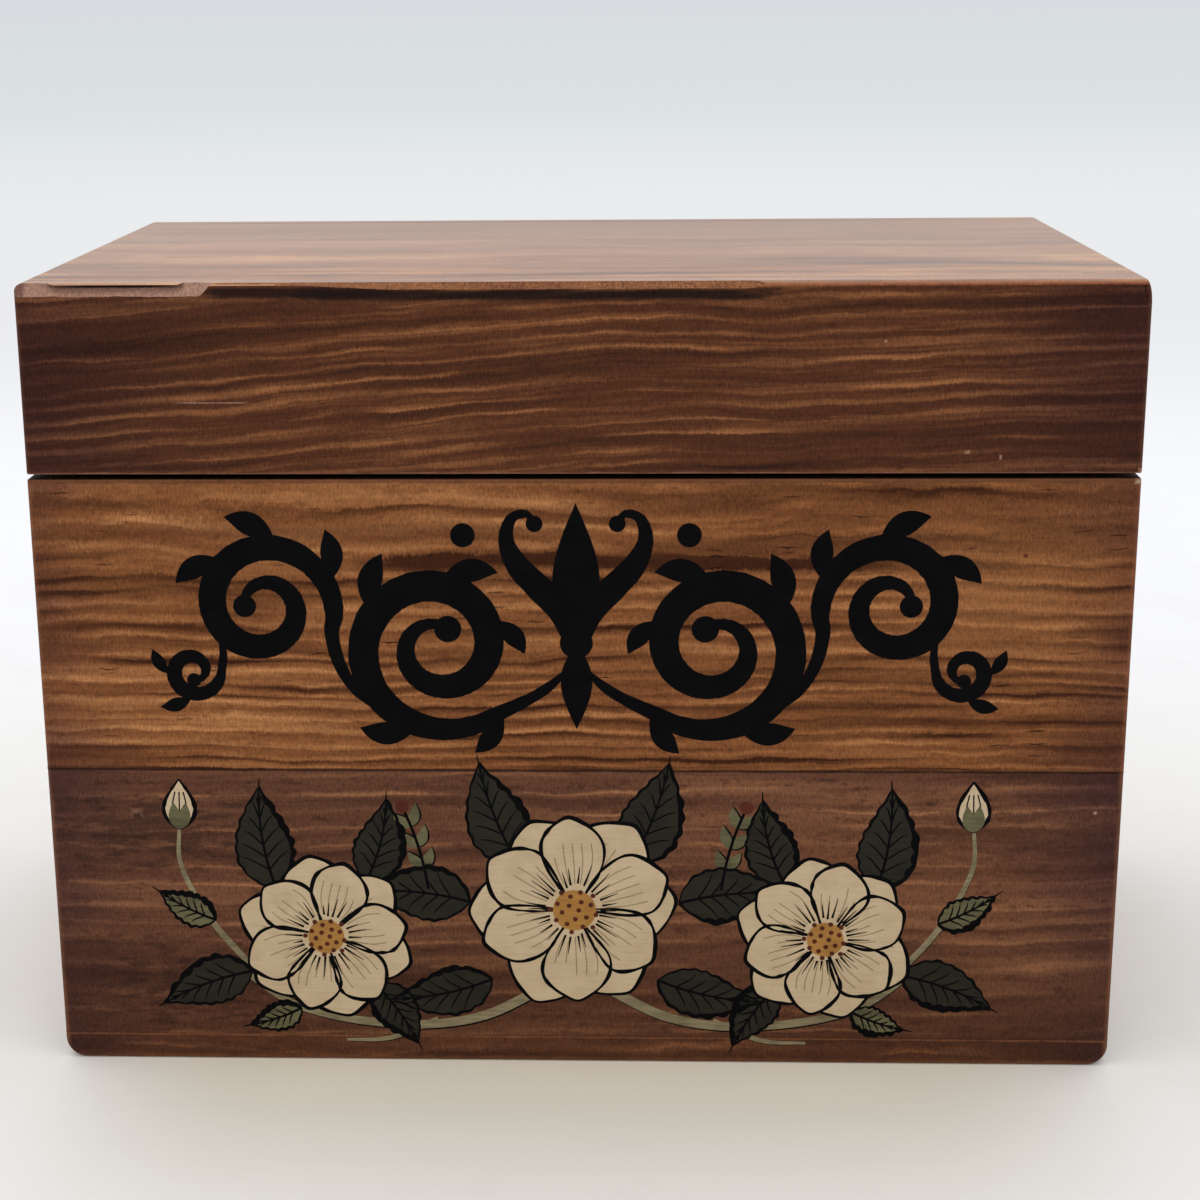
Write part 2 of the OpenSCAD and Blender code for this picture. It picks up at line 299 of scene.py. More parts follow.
def make_soft_patch():
    """A mask round Centre: 1 inside the half size, falling to 0 over Soft times that size."""
    inputs = {"Vector": (0, 0, 0), "Centre": (0, 0, 0), "Half Size": (1, 1, 1), "Soft": (0.5, 0.5, 0.5),
              "Ragged": 0.2}
    tree, given = new_group("soft_patch", inputs, ("Mask",))
    from_centre = vector_maths(tree, "SUBTRACT", given["Vector"], given["Centre"])
    share = vector_maths(tree, "ABSOLUTE", vector_maths(tree, "DIVIDE", from_centre, given["Half Size"]))
    rough = stretched_noise(given["Vector"], (0.22, 0.9, 0.9), 3.0, (1, 5, 3), 0.6) - 0.5
    rough = rough * given["Ragged"] * 4.0
    share = vector_maths(tree, "ADD", share, combine(tree, rough, rough, rough))
    start = vector_maths(tree, "SUBTRACT", (1, 1, 1), given["Soft"])
    x, y, z = split(vector_maths(tree, "DIVIDE", vector_maths(tree, "SUBTRACT", share, start),
                                 given["Soft"]))
    far = x.maths("MAXIMUM", y.maths("MAXIMUM", z))
    return close_group(tree, {"Mask": rise(far, 0.0, 1.0, 1.0, 0.0)})


PINE_GRAIN = make_pine_grain()
EDGE_WEAR = make_edge_wear()
SOFT_PATCH = make_soft_patch()


def new_material(name):
    """A material, its tree, its shader, and object coordinates in millimetres."""
    material = bpy.data.materials.new(name)
    material.use_nodes = True
    tree = material.node_tree
    tree.nodes.clear()
    surface = tree.nodes.new("ShaderNodeBsdfPrincipled")
    wire(tree.nodes.new("ShaderNodeOutputMaterial"), {"Surface": Signal(surface.outputs[0])})
    place = Signal(tree.nodes.new("ShaderNodeTexCoord").outputs["Object"])
    place = add_node(tree, "ShaderNodeMapping", {"Vector": place, "Scale": (1000, 1000, 1000)})[0]
    return material, tree, surface, place


# Wood, with colours in screen values

# The tint of the board ends is partly a darker stain and partly painted shade towards the sides
END_STAIN_AND_SHADE = (200, 196, 236)
WORN_EDGE = (146, 94, 62)
LID_WORN_EDGE = (112, 70, 48)
PALE_SCAR = (160, 122, 100)
DARK_SCAR = (40, 23, 18)
EVEN_SOFT = (0.5, 0.5, 0.5)


def pine(name, dark, mid, light, worn=WORN_EDGE, spacing=3.0, pith=(0, 0), waver=1.0, crisp=1.0,
         turn=(0, 0, 0), shift=0, bow=0.0, line_start=0.6, lines=0.5, bands=0.5, streaks=0.3, clouds=0.3,
         feather=0.3, pores=0.8, smudges=0.3, ends=0, patches=(), casing=BASE, wear=1.0, specular=0.14,
         roughness=0.42, coat=0.0, coat_roughness=0.3, sheen=0.0):
    """Pine with its stain and varnish. Turn and shift place the log that the board was sawn from, and
    ends is how far in from the sides of the box the wood darkens, with a darker stain and painted shade
    there."""
    material, tree, surface, place = new_material(name)
    dark, mid, light, worn = [stain(*colour) for colour in (dark, mid, light, worn)]
    mapping = {"Vector": place, "Rotation": turn, "Location": (shift, 0, 0)}
    grain = add_group(tree, PINE_GRAIN, {
        "Vector": add_node(tree, "ShaderNodeMapping", mapping)[0], "Ring Spacing": spacing,
        "Pith Y": pith[0], "Pith Z": pith[1], "Waver": waver, "Crisp Side": crisp, "Bow": bow,
        "Line Start": line_start, "Light Lines": lines, "Dark Bands": bands, "Streaks": streaks,
        "Clouds": clouds, "Feather": feather})
    colour = add_ramp(grain["Tone"], ((0.0, dark), (0.5, mid), (1.0, light)))
    # Darker ends towards the sides of the box: a darker stain with painted shade
    if ends:
        drift = stretched_noise(place, (0.03, 0.14, 0.14)) - 0.5
        outward = split(place)[0].maths("ABSOLUTE") + drift * 30.0
        faded = blend(tree, 0.5, colour, blend(tree, 0.5, dark, mid))
        stained = blend(tree, 1.0, faded, stain(*END_STAIN_AND_SHADE), "MULTIPLY")
        colour = blend(tree, rise(outward, HALF_W - ends, HALF_W + 4), colour, stained)
    colour = blend(tree, grain["Smudges"] * smudges, colour, blend(tree, 0.7, colour, dark))
    for centre, half_size, soft, ragged, patch_colour, amount in patches:
        mask = add_group(tree, SOFT_PATCH, {"Vector": place, "Centre": centre, "Half Size": half_size,
                                            "Soft": soft, "Ragged": ragged})["Mask"]
        colour = blend(tree, mask * amount, colour, stain(*patch_colour))
    colour = blend(tree, grain["Pores"] * pores, colour, shade(dark, 0.25))
    fine = grain["Fine"]
    fine_grey = add_node(tree, "ShaderNodeCombineColor", {0: fine, 1: fine, 2: fine})[0]
    colour = blend(tree, 1.0, colour, fine_grey, "MULTIPLY")
    edge = add_group(tree, EDGE_WEAR, {"Vector": place, "Low": casing[0], "High": casing[1],
                                       "Width": wear, "Ragged": 0.6})["Mask"]
    wire(surface, {
        "Base Color": blend(tree, edge * 0.4, colour, worn),
        "Roughness": (grain["Height"] - 0.5) * 0.2 + roughness + edge * 0.1,
        "Normal": bump(grain["Height"] + grain["Pores"] * -1.2, 0.35, 0.00008),
        "Specular IOR Level": specular, "Coat Weight": coat, "Coat Roughness": coat_roughness,
        "Sheen Weight": sheen, "Sheen Roughness": 0.4, "Sheen Tint": stain(255, 210, 180)})
    return material


def mark(x, z, half_x, half_z, colour, amount, soft=0.6, ragged=0.15, soft_x=0.6):
    """A mark on the front at (x, z), as a patch for pine."""
    return (x, FACE_Y, z), (half_x, 3.0, half_z), (soft_x, soft, soft), ragged, colour, amount


def top_dent(x, y, half_x, half_y, amount):
    """A small dark dent on the top of the lid, as a patch for pine."""
    return (x, y, TOP_Z), (half_x, half_y, 1), EVEN_SOFT, 0.2, DARK_SCAR, amount


def rim_line(z, half_z, colour, amount, ragged):
    """A line round the whole box at the height z, as a patch for pine."""
    return (0, 0, z), (2 * HALF_W, 2 * HALF_D, half_z), EVEN_SOFT, ragged, colour, amount


# A dark line along the base's top edge: a darker edge stain, deepened as painted shade of the seam under
# the lid
BASE_RIM_STAIN_AND_SHADE = rim_line(BASE_RIM_Z, 0.7, (60, 34, 22), 0.8, 0.25)
LID_RIM_LINE = rim_line(LID_RIM_Z, 0.28, (144, 102, 80), 0.7, 0.6)
GLUE_LINE = rim_line(GLUE_Z, 0.28, DARK_SCAR, 0.75, 0.3)
BOTTOM_LINE = rim_line(FLOOR_BOARD_Z, 0.35, (132, 84, 56), 0.5, 0.4)
# The back half of the lid's top is darker: painted shade set against the stronger grazing reflection there
FAR_TOP_PAINTED_SHADE = ((0, HALF_D, TOP_Z), (2 * HALF_W, 1.6 * HALF_D, 4), (1.0, 1.0, 1.0), 0.1, (122, 72, 32), 0.75)

GOLDEN_PINE = pine(
    "golden_pine", (62, 31, 15), (132, 82, 47), (180, 123, 77), spacing=1.5, pith=(-12, 97), waver=0.7,
    shift=11, line_start=0.45, lines=0.6, bands=0.72, streaks=0.75, clouds=0.45, feather=0.15, pores=0.9,
    smudges=0.4, specular=0.05, ends=16,
    patches=(mark(-36, 79.5, 46, 2.4, (84, 46, 25), 0.6, 1.0, 0.12, 0.5),
             mark(20, 82.6, 44, 1.3, (92, 52, 28), 0.5, 1.0, 0.14, 0.5),
             mark(34, 77.2, 40, 1.8, (88, 50, 27), 0.55, 1.0, 0.14, 0.5),
             mark(-50, 66.0, 30, 1.5, (92, 52, 28), 0.4, 1.0, 0.14, 0.5),
             mark(8, 52.4, 60, 1.4, (90, 50, 27), 0.4, 1.0, 0.14, 0.5),
             mark(56, 70, 22, 14, (160, 106, 64), 0.42, 1.0, 0.15, 1.0),
             BASE_RIM_STAIN_AND_SHADE, GLUE_LINE, mark(61.0, 76.3, 0.4, 0.35, (84, 28, 18), 0.8),
             # The last mark is a pale spot on the base's top right corner: worn wood with a painted glint
             mark(75.7, 86.7, 0.6, 0.45, (176, 150, 130), 0.8, 0.8, 0.3)))
DARK_PINE = pine(
    "dark_pine", (62, 36, 26), (100, 64, 46), (148, 100, 68), spacing=2.2, pith=(20, -40), waver=0.5,
    crisp=-1.0, turn=(0, 0.015, 0), shift=60, line_start=0.66, lines=0.6, bands=0.4, streaks=0.55,
    clouds=0.4, feather=0.11, pores=0.5, smudges=0.8, specular=0.05, ends=16,
    patches=(mark(0, 9, 200, 18, (66, 38, 26), 0.45, 1.0, 0.1), GLUE_LINE,
             mark(42, 30, 34, 14, (134, 86, 56), 0.3, 1.0, 0.15, 1.0),
             mark(-62, 36, 14, 5, (52, 33, 27), 0.6, 0.8, 1.2, 0.8),
             mark(-46, 12, 24, 6, (50, 31, 25), 0.55, 0.8, 1.2, 0.8),
             mark(56, 36, 18, 5, (54, 32, 23), 0.4, 0.8, 1.2, 0.8),
             mark(72.4, 39.0, 0.3, 0.3, PALE_SCAR, 0.9), mark(-63.6, 38.4, 1.1, 0.9, PALE_SCAR, 0.25),
             mark(-63.6, 38.0, 0.8, 0.6, DARK_SCAR, 0.8, 1.0)))
BOTTOM_PINE = pine(
    "bottom_pine", (56, 32, 22), (82, 50, 34), (122, 78, 52), spacing=1.6, pith=(5, 30), waver=0.6,
    shift=20, lines=0.6, streaks=0.5, pores=0.3, smudges=0.4, feather=0.12, specular=0.05, ends=16,
    patches=(BOTTOM_LINE,))
LID_FRONT_PINE = pine(
    "lid_front_pine", (50, 27, 18), (86, 49, 30), (146, 94, 58), LID_WORN_EDGE, spacing=1.95,
    pith=(10, -60), waver=0.9, crisp=-1.0, turn=(0, 0.05, 0), shift=5, bow=0.00018, line_start=0.5,
    lines=0.58, bands=0.3, streaks=0.8, feather=0.16, pores=0.3, smudges=0.35, casing=LID, wear=0.8,
    specular=0.05, ends=34,
    patches=(LID_RIM_LINE, mark(-49.6, 97.7, 6, 0.16, PALE_SCAR, 0.6, 0.8, 0.3),
             mark(-38, 112.6, 15, 1.1, (34, 20, 17), 0.9, 0.7, 0.12, 0.4),
             mark(-7, 112.2, 37, 1.05, (30, 18, 15), 0.95, 0.7, 0.12, 0.25),
             mark(-48, 111.1, 27, 0.9, (72, 41, 27), 0.75, 1.0, 0.12, 0.5),
             # A thin pale red-brown line along the right of the top front edge: worn wood with a painted
             # highlight
             mark(51, 113.6, 26, 0.5, (172, 106, 73), 0.8, 0.9, 0.15, 0.1),
             # A pale spot on the lid's lower right corner: a worn chip with a painted glint
             mark(75.9, 88.2, 0.5, 0.4, PALE_SCAR, 0.6),
             mark(41.1, 105.8, 0.25, 0.25, PALE_SCAR, 0.9), mark(52.5, 90.7, 0.5, 0.3, PALE_SCAR, 0.7),
             mark(57.0, 90.0, 0.2, 0.4, PALE_SCAR, 0.8)))
# The lid's top is paler than its other boards: its colour holds a painted reflection of the pale backdrop
# seen at a low angle
LID_TOP_PINE_PAINTED_REFLECTION = pine(
    "lid_top_pine_painted_reflection", (94, 52, 27), (165, 109, 68), (214, 160, 110), (150, 98, 64), spacing=2.8,
    pith=(-12, 60), waver=0.8, shift=40, bands=0.4, streaks=0.85, clouds=0.4, feather=0.1, pores=0.15,
    smudges=0.1, casing=LID, wear=0.7, specular=0.4, roughness=0.4, coat=0.5, coat_roughness=0.28,
    sheen=0.2, patches=(FAR_TOP_PAINTED_SHADE, top_dent(17, -41, 0.9, 0.4, 0.8), top_dent(69, -37, 1.2, 0.5, 0.6)))
SIDE_PINE = pine(
    "side_pine", (66, 37, 23), (112, 70, 43), (156, 104, 66), spacing=2.0, pith=(20, 30),
    turn=(0, 0, QUARTER), shift=5, lines=0.55, streaks=0.5, feather=0.13, pores=0.6,
    patches=(BASE_RIM_STAIN_AND_SHADE,))
LID_SIDE_PINE = pine(
    "lid_side_pine", (50, 28, 19), (84, 49, 31), (134, 88, 54), LID_WORN_EDGE, spacing=2.4,
    pith=(30, 60), turn=(0, 0, QUARTER), shift=45, lines=0.6, streaks=0.5, feather=0.14, pores=0.4,
    casing=LID, patches=(LID_RIM_LINE,))
BACK_PINE = pine(
    "back_pine", (68, 37, 22), (120, 74, 44), (162, 108, 68), spacing=1.8, pith=(10, 20), crisp=-1.0,
    shift=70, lines=0.55, streaks=0.5, feather=0.13, pores=0.6, smudges=0.35, ends=16,
    patches=(BASE_RIM_STAIN_AND_SHADE,))
LID_BACK_PINE = pine(
    "lid_back_pine", (50, 28, 19), (84, 48, 30), (138, 90, 55), LID_WORN_EDGE, spacing=2.5,
    pith=(20, 40), crisp=-1.0, shift=30, lines=0.65, streaks=0.45, feather=0.14, pores=0.4, casing=LID,
    ends=16, patches=(LID_RIM_LINE,))
# Rims that meet at the seam: a dark stain, darkened further as painted shade inside the gap between lid and
# base
SEAM_SHADED_RIM_PINE = pine(
    "seam_shaded_rim_pine", (36, 21, 15), (56, 33, 22), (84, 52, 35), (72, 44, 30), spacing=2.2, pith=(0, 20),
    lines=0.4, pores=0.3, wear=0.2, roughness=0.6, specular=0.08)
BARE_PINE = pine(
    "bare_pine", (178, 136, 88), (204, 168, 120), (186, 140, 90), (200, 164, 116), spacing=2.6,
    pith=(0, 20), waver=1.2, bands=0.3, feather=0.12, pores=0.3, smudges=0.15, roughness=0.62,
    specular=0.25, wear=0.2)
BARE_SIDE_PINE = pine(
    "bare_side_pine", (176, 134, 86), (202, 166, 118), (182, 136, 86), (200, 164, 116), spacing=2.4,
    pith=(10, 40), waver=1.2, turn=(0, 0, QUARTER), bands=0.3, feather=0.12, pores=0.3, smudges=0.15,
    roughness=0.62, specular=0.25, wear=0.2)
SPLIT_PINE = pine(
    "split_pine", (108, 74, 62), (146, 108, 92), (176, 138, 118), (152, 114, 96), spacing=0.9,
    pith=(0, 90), waver=0.5, lines=0.4, bands=0.4, streaks=0.8, feather=0.5, pores=0.5, smudges=0.4,
    roughness=0.6, casing=LID, wear=0.1,
    # The first mark is painted shadow: a near-black line under the lip that overhangs the crack
    patches=(mark(-62.5, TOP_Z - 0.42, 11, 0.3, (26, 16, 14), 0.95, 0.6, 0.12),
             mark(-75.8, TOP_Z - 0.9, 1.3, 1.8, (104, 70, 60), 0.9, 0.8, 0.2)))
WORN_PINE = pine(
    "worn_pine", (92, 50, 28), (142, 90, 56), (186, 134, 94), (160, 112, 80), spacing=0.5, pith=(0, 90),
    waver=0.5, bands=0.6, streaks=0.5, feather=0.8, pores=0.4, smudges=0.5, roughness=0.5, casing=LID,
    wear=0.1)


# Metal and paint

def aged_metal(name, bright, dull, roughness, tarnish, spots):
    """Metal with a fine brushed finish, soft handling tarnish and small dark spots."""
    material, tree, surface, place = new_material(name)
    bright, dull = stain(*bright), stain(*dull)
    clouds = rise(stretched_noise(place, (0.16, 0.3, 0.3), 5.0, (0, 0, 0), 0.65), 0.4, 0.75)
    brushed = stretched_noise(place, (0.7, 14.0, 14.0))
    pits = rise(stretched_noise(place, (2.4, 2.4, 2.4)), 0.68, 0.78)
    colour = blend(tree, clouds * tarnish, bright, dull)
    colour = blend(tree, brushed * 0.5 - 0.15, colour, dull)
    wire(surface, {
        "Base Color": blend(tree, pits * spots, colour, shade(dull, 0.3)),
        "Roughness": brushed * 0.16 + roughness + clouds * 0.14,
        "Normal": bump(brushed, 0.2, 0.00002), "Metallic": 1.0})
    return material


HINGE_BRASS = aged_metal("hinge_brass", (216, 182, 118), (176, 138, 82), 0.24, 0.7, 0.5)
SCREW_BRASS = aged_metal("screw_brass", (186, 148, 92), (140, 104, 60), 0.3, 0.6, 0.5)
BRAD_STEEL = aged_metal("brad_steel", (150, 148, 144), (96, 92, 88), 0.4, 0.8, 0.7)


def paint(name, colour, shaded, streak, specular):
    """Flat paint over wood: a little uneven, with the grain of the board showing in it."""
    material, tree, surface, place = new_material(name)
    uneven = rise(stretched_noise(place, (0.3, 0.3, 0.3), 4.0, (3, 3, 3)), 0.35, 0.7)
    brush = rise(stretched_noise(place, (0.25, 3.0, 3.0), 3.0, (1, 7, 1), 0.6), 0.3, 0.75)
    amount = (brush * streak).maths("ADD", uneven * 0.5, clamp=True)
    wire(surface, {
        "Base Color": blend(tree, amount, stain(*colour), stain(*shaded)),
        "Roughness": brush * 0.15 + 0.5, "Normal": bump(brush, 0.2, 0.00004),
        "Specular IOR Level": specular})
    return material


BLACK_PAINT = paint("black_paint", (6, 6, 8), (13, 12, 13), 0.4, 0.03)
CREAM_PAINT = paint("cream_paint", (198, 176, 143), (180, 157, 124), 0.45, 0.15)
LEAF_PAINT = paint("leaf_paint", (42, 39, 30), (33, 30, 24), 0.5, 0.08)
PALE_LEAF_PAINT = paint("pale_leaf_paint", (104, 100, 70), (72, 68, 48), 0.6, 0.1)
TWIG_PAINT = paint("twig_paint", (142, 130, 100), (100, 90, 66), 0.6, 0.1)
DOT_PAINT = paint("dot_paint", (88, 40, 25), (66, 28, 19), 0.4, 0.1)
OCHRE_PAINT = paint("ochre_paint", (168, 122, 62), (146, 100, 48), 0.5, 0.1)
PETAL_LINE_PAINT = paint("petal_line_paint", (150, 130, 98), (132, 112, 82), 0.5, 0.1)


# Joinery

SMOOTH_ANGLE = math.radians(32)
SHARP_ANGLE = math.radians(60)


def deselect():
    bpy.ops.object.select_all(action="DESELECT")


def make_active(piece):
    deselect()
    piece.select_set(True)
    bpy.context.view_layer.objects.active = piece


def link(name, data):
    """A new object in the scene that holds a mesh, a lamp or a camera."""
    made = bpy.data.objects.new(name, data)
    bpy.context.scene.collection.objects.link(made)
    return made


def smooth(piece):
    make_active(piece)
    bpy.ops.object.shade_smooth_by_angle(angle=SMOOTH_ANGLE)


def enter_edit(piece):
    """Goes into edit mode with everything selected."""
    make_active(piece)
    bpy.ops.object.mode_set(mode="EDIT")
    bpy.ops.mesh.select_all(action="SELECT")


def leave_edit():
    bpy.ops.object.mode_set(mode="OBJECT")


def apply_modifier(piece, kind, **settings):
    make_active(piece)
    modifier = piece.modifiers.new(kind.lower(), kind)
    for key, value in settings.items():
        setattr(modifier, key, value)
    bpy.ops.object.modifier_apply(modifier=modifier.name)


def add_block(name, low, high):
    """A sawn block between two corners in millimetres, ready to be worked."""
    low, high = Vector(low) * MM, Vector(high) * MM
    deselect()
    bpy.ops.mesh.primitive_cube_add(size=1, location=(low + high) / 2, scale=high - low)
    piece = bpy.context.object
    piece.name = name
    bpy.ops.object.transform_apply(location=True, rotation=True, scale=True)
    return piece


def saw(piece, place, normal):
    """Cuts every face along a plane, as a line to shape from."""
    enter_edit(piece)
    bpy.ops.mesh.bisect(plane_co=Vector(place) * MM, plane_no=normal)
    leave_edit()


def place_of(element):
    """Where a face or an edge lies, in millimetres, and its normal or direction."""
    if isinstance(element, bmesh.types.BMFace):
        return element.calc_center_median() / MM, element.normal
    first, second = [vertex.co / MM for vertex in element.verts]
    return (first + second) / 2, (second - first).normalized()


def pick(piece, kind, wanted):
    """Goes into edit mode with the wanted faces or edges selected, and says how many they are."""
    enter_edit(piece)
    bpy.ops.mesh.select_mode(type=kind)
    bpy.ops.mesh.select_all(action="DESELECT")
    bm = bmesh.from_edit_mesh(piece.data)
    count = 0
    for element in bm.faces if kind == "FACE" else bm.edges:
        chosen = wanted(*place_of(element))
        element.select_set(chosen)
        count += chosen
    bmesh.update_edit_mesh(piece.data)
    return count


def touches(value, *levels):
    return any(abs(value - level) < TOUCH for level in levels)


def edge_radius(middle, along):
    """How far a sharp edge of the casing is eased, by its place and run, in millimetres."""
    on_end = touches(abs(middle.x), HALF_W)
    on_long = touches(abs(middle.y), HALF_D)
    near_side = abs(middle.x) > HALF_W - BOTTOM_SIDE_R
    top_reach = TOP_SIDE_R * (1 if middle.x < 0 else RIGHT_STRETCH)
    at_top = touches(middle.z, TOP_Z) or (near_side and middle.z > TOP_Z - top_reach)
    at_bottom = touches(middle.z, 0.0) or (near_side and middle.z < BOTTOM_SIDE_R)
    if touches(middle.z, LID_RIM_Z, BASE_RIM_Z):
        return RIM_R if on_end or on_long else INNER_RIM_R
    if touches(middle.z, GLUE_Z, FLOOR_BOARD_Z):
        return SEAM_R if on_end or on_long else 0.0
    for at_level, long_r in ((at_top, TOP_LONG_R), (at_bottom, BOTTOM_LONG_R)):
        if on_long and at_level:
            return UPRIGHT_R + (long_r - UPRIGHT_R) * abs(along.x)
    if on_long and on_end:
        return UPRIGHT_R
    return SEAM_R if on_end or on_long or at_top or at_bottom else 0.0


def ease_edges(piece):
    """Rounds the long side edges of a board first, then eases every sharp edge by its place."""
    for radius, level in ((TOP_SIDE_R, TOP_Z), (BOTTOM_SIDE_R, 0.0)):
        if pick(piece, "EDGE", lambda middle, along: touches(abs(middle.x), HALF_W)
                and abs(along.y) > 0.9 and touches(middle.z, level)):
            bpy.ops.mesh.bevel(offset=radius * MM, segments=8, affect="EDGES", clamp_overlap=False)
        leave_edit()
    if pick(piece, "FACE", lambda centre, normal: centre.x > HALF_W - TOP_SIDE_R
            and centre.z > TOP_Z - TOP_SIDE_R):
        bpy.ops.transform.resize(value=(1, 1, RIGHT_STRETCH), center_override=(0, 0, TOP_Z * MM))
    leave_edit()
    bm = bmesh.new()
    bm.from_mesh(piece.data)
    weights = bm.edges.layers.float.new("bevel_weight_edge")
    for edge in bm.edges:
        sharp = len(edge.link_faces) == 2 and edge.calc_face_angle() > SHARP_ANGLE
        edge[weights] = edge_radius(*place_of(edge)) / TOP_LONG_R if sharp else 0.0
    bm.to_mesh(piece.data)
    bm.free()
    apply_modifier(piece, "BEVEL", limit_method="WEIGHT", width=TOP_LONG_R * MM, segments=5,
                   use_clamp_overlap=False, profile=0.5)
    weights = piece.data.attributes.get("bevel_weight_edge")
    if weights:
        piece.data.attributes.remove(weights)


def finish_of(centre, normal):
    """Which finish a face of a board gets: 0 stained, 1 bare inside, 2 the rim's, dark with painted seam
    shade, 3 the lid top's, with painted reflection.
    """
    if BASE_RIM_Z - 0.02 < centre.z < LID_RIM_Z + 0.02 and abs(normal.z) > 0.9:
        return 2
    between_walls = abs(centre.x) < INNER_X + TOUCH and abs(centre.y) < INNER_Y + TOUCH
    if between_walls and FLOOR_BOARD_Z - TOUCH < centre.z < TOP_RABBET_Z + TOUCH:
        return 1
    return 3 if centre.z > TOP_Z - TOP_SIDE_R and normal.z > 0.6 else 0


def saw_board(name, node, outward):
    """A board in its CAD box. A front (outward -1) or back (outward 1) board has rabbets at its ends,
    and in the lid along its top, for the other boards."""
    low, high = box_of(node)
    if not outward:
        return add_block(name, low, high)
    outer_y, lip_y, inner_y = outward * HALF_D, outward * LIP_Y, outward * INNER_Y
    piece = add_block(name, (low.x, min(outer_y, lip_y), low.z), (high.x, max(outer_y, lip_y), high.z))
    for side in (-INNER_X, INNER_X):
        saw(piece, (side, 0, 0), (1, 0, 0))
    rabbet_z = min(TOP_RABBET_Z, high.z)
    if rabbet_z < high.z:
        saw(piece, (0, 0, rabbet_z), (0, 0, 1))
    pick(piece, "FACE", lambda centre, normal: normal.y * outward < -0.9
         and abs(centre.x) < INNER_X and centre.z < rabbet_z)
    bpy.ops.mesh.extrude_region_move(TRANSFORM_OT_translate={"value": (0, (inner_y - lip_y) * MM, 0)})
    leave_edit()
    return piece


# Each board's name, CAD node, side (-1 front, 1 back), finishes outside and inside, and slot
BOARDS = (
    ("base_front_lower", "base_front_lower_board", -1, DARK_PINE, BARE_PINE, "front_pine_dark"),
    ("base_front_upper", "base_front_upper_board", -1, GOLDEN_PINE, BARE_PINE, "front_pine_golden"),
    ("base_back", "base_back_board", 1, BACK_PINE, BARE_PINE, "base_pine"),
    ("lid_front", "lid_front_board", -1, LID_FRONT_PINE, BARE_PINE, "lid_pine"),
    ("lid_back", "lid_back_board", 1, LID_BACK_PINE, BARE_PINE, "lid_pine"),
    ("base_bottom", "bottom_board", 0, BOTTOM_PINE, BARE_PINE, "bottom_pine"),
    ("base_left", "base_left_board", 0, SIDE_PINE, BARE_SIDE_PINE, "base_pine"),
    ("base_right", "base_right_board", 0, SIDE_PINE, BARE_SIDE_PINE, "base_pine"),
    ("lid_left", "lid_left_board", 0, LID_SIDE_PINE, BARE_SIDE_PINE, "lid_pine"),
    ("lid_right", "lid_right_board", 0, LID_SIDE_PINE, BARE_SIDE_PINE, "lid_pine"),
    ("lid_top", "lid_top_board", 0, LID_BACK_PINE, BARE_PINE, "lid_pine"))


def build_boards():
    """Every board, stained outside and bare inside, in the place of its CAD node."""
    boards = {}
    for name, node, outward, outside, bare, slot in BOARDS:
        piece = saw_board(name, node, outward)
        ease_edges(piece)
        piece.data.materials.clear()
        for finish in (outside, bare, SEAM_SHADED_RIM_PINE, LID_TOP_PINE_PAINTED_REFLECTION):
            piece.data.materials.append(finish)
        for polygon in piece.data.polygons:
            polygon.material_index = finish_of(polygon.center / MM, polygon.normal)
        smooth(piece)
        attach(piece, name.split("_")[0])
        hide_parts(node)
        boards[name] = piece
    return boards


# Chip and worn edge of the lid's front

CHIP_END_LOW = -51.1
CHIP_END_HIGH = -49.2
CRACK_START = -73.5
CRACK_END = -54.0
WORN_END = 27.6


def step(value, low, high):
    share = min(max((value - low) / (high - low), 0), 1)
    return share * share * (3 - 2 * share)


def chip_section(x):
    """Outline of the split at x, as (depth behind the front, drop below the top) in millimetres."""
    wander = noise.noise((x * 0.12, 0, 3)) * 0.12 + noise.noise((x * 0.7, 5, 1)) * 0.05
    chip = 1 - step(x, CHIP_END_LOW, CHIP_END_HIGH)
    worn = 1 - step(x, WORN_END - 5, WORN_END)
    depth = 0.25 + 0.75 * step(x, -44, -22)
    drop = (0.95 * depth + wander) * worn + chip * (1.5 + wander)
    back = (0.75 + wander) * worn + chip * 0.55
    covered = step(x, CRACK_START, CRACK_START + 3) * (1 - step(x, CRACK_END, CRACK_END + 2))
    lip = -0.5 + covered * 0.72
    return drop, max(back, 0.02), lip


def build_splitter():
    """The wedge that breaks the chip out and wears the edge, one ring of points each half millimetre."""
    bm = bmesh.new()
    rings = []
    x = -HALF_W - 1.0
    while x < WORN_END + 0.5:
        drop, back, lip = chip_section(x)
        gap = back + max(lip, 0) * 0.6
        points = [(-1.5, drop + 1.2), (0.0, drop)]
        for share in (0.25, 0.5, 0.75):
            rough = noise.noise((x * 0.5, share * 9, 7)) * 0.1
            points.append((gap * share + rough, drop + (max(lip, -0.1) + 0.12 - drop) * share + rough))
        points += [(gap, max(lip, -0.1) + 0.12), (gap + 0.05, lip), (-1.5, lip - 0.05)]
        ring = [bm.verts.new((x * MM, (FACE_Y + depth) * MM, (TOP_Z - fall) * MM))
                for depth, fall in points]
        rings.append(ring)
        x += 0.5
    for first, second in zip(rings, rings[1:]):
        for index in range(len(first)):
            after = (index + 1) % len(first)
            bm.faces.new((first[index], first[after], second[after], second[index]))
    bm.faces.new(rings[0][::-1])
    bm.faces.new(rings[-1])
    bmesh.ops.recalc_face_normals(bm, faces=bm.faces)
    mesh = bpy.data.meshes.new("splitter")
    bm.to_mesh(mesh)
    bm.free()
    splitter = link("splitter", mesh)
    mesh.materials.append(SPLIT_PINE)
    mesh.materials.append(WORN_PINE)
    for polygon in mesh.polygons:
        polygon.material_index = 1 if polygon.center.x / MM > CHIP_END_HIGH else 0
    return splitter


